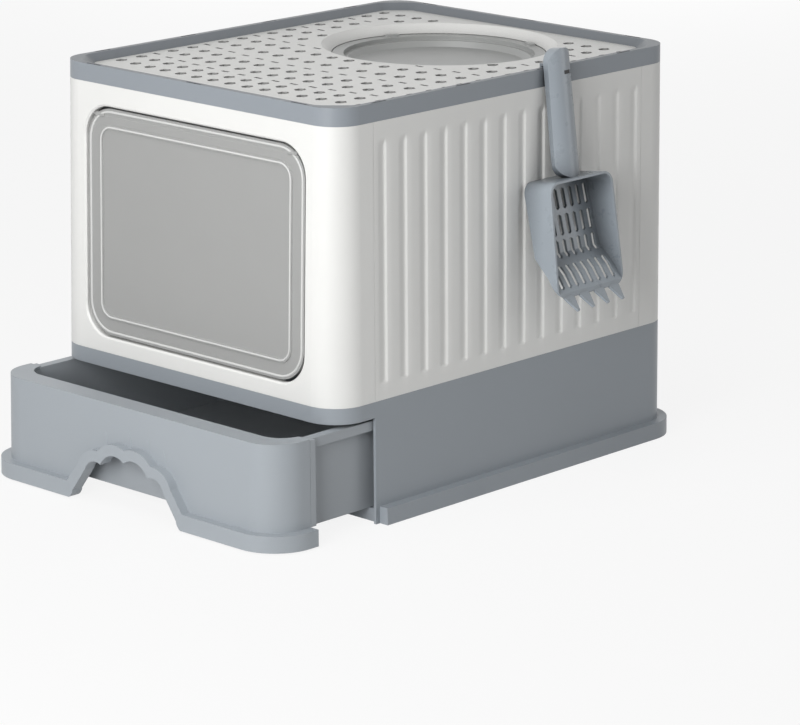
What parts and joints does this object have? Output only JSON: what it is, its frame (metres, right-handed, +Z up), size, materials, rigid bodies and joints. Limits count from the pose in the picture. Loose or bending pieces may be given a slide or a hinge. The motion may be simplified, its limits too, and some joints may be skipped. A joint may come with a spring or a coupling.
{
  "type": "drawer litter box",
  "caption": "Lidded cat litter box with a swinging front flap, a perforated lid with a covered round top exit, a pull-out litter drawer and a slotted scoop hung on the rim.",
  "frame": {"origin": "on the floor under the middle of the housing, on the underside of the base's crossed ribs", "axes": "+Z up, -Y towards the front with the flap and drawer, +X towards the side that carries the scoop"},
  "size_m": [0.4389, 0.571, 0.4057],
  "materials": {
    "grey_plastic": "fine matt slate grey",
    "white_plastic": "satin white",
    "smoke_plastic": "frosted translucent grey",
    "scoop_plastic": "satin slate grey",
    "steel": "drawn"
  },
  "bodies": {
    "housing": {"base_frame": "grey_plastic", "front_wall": "white_plastic", "rear_wall": "white_plastic", "left_wall": "white_plastic", "right_wall": "white_plastic", "lid_rim": "grey_plastic", "lid_deck": "white_plastic", "flap_hinge_pins": "steel"},
    "flap": {"door_flap": "smoke_plastic"},
    "drawer": {"drawer_front": "grey_plastic", "litter_tray": "grey_plastic"},
    "top_cover": {"exit_cover": "smoke_plastic"},
    "scoop": {"litter_scoop": "scoop_plastic"}
  },
  "joints": [
    {"name": "flap_swing", "type": "hinge", "parent": "housing", "child": "flap", "pos_m": [0, -0.22865, 0.34043], "axis": [1, 0, 0], "range_deg": [-75, 75]},
    {"name": "drawer_slide", "type": "slide", "parent": "housing", "child": "drawer", "axis": [0, -1, 0], "range_m": [-0.077, 0.3]},
    {"name": "exit_cover_lift", "type": "slide", "parent": "housing", "child": "top_cover", "axis": [0, 0, 1], "range_m": [0, 0.12]},
    {"name": "scoop_lift", "type": "slide", "parent": "housing", "child": "scoop", "axis": [0, 0, 1], "range_m": [0, 0.15]}
  ]
}
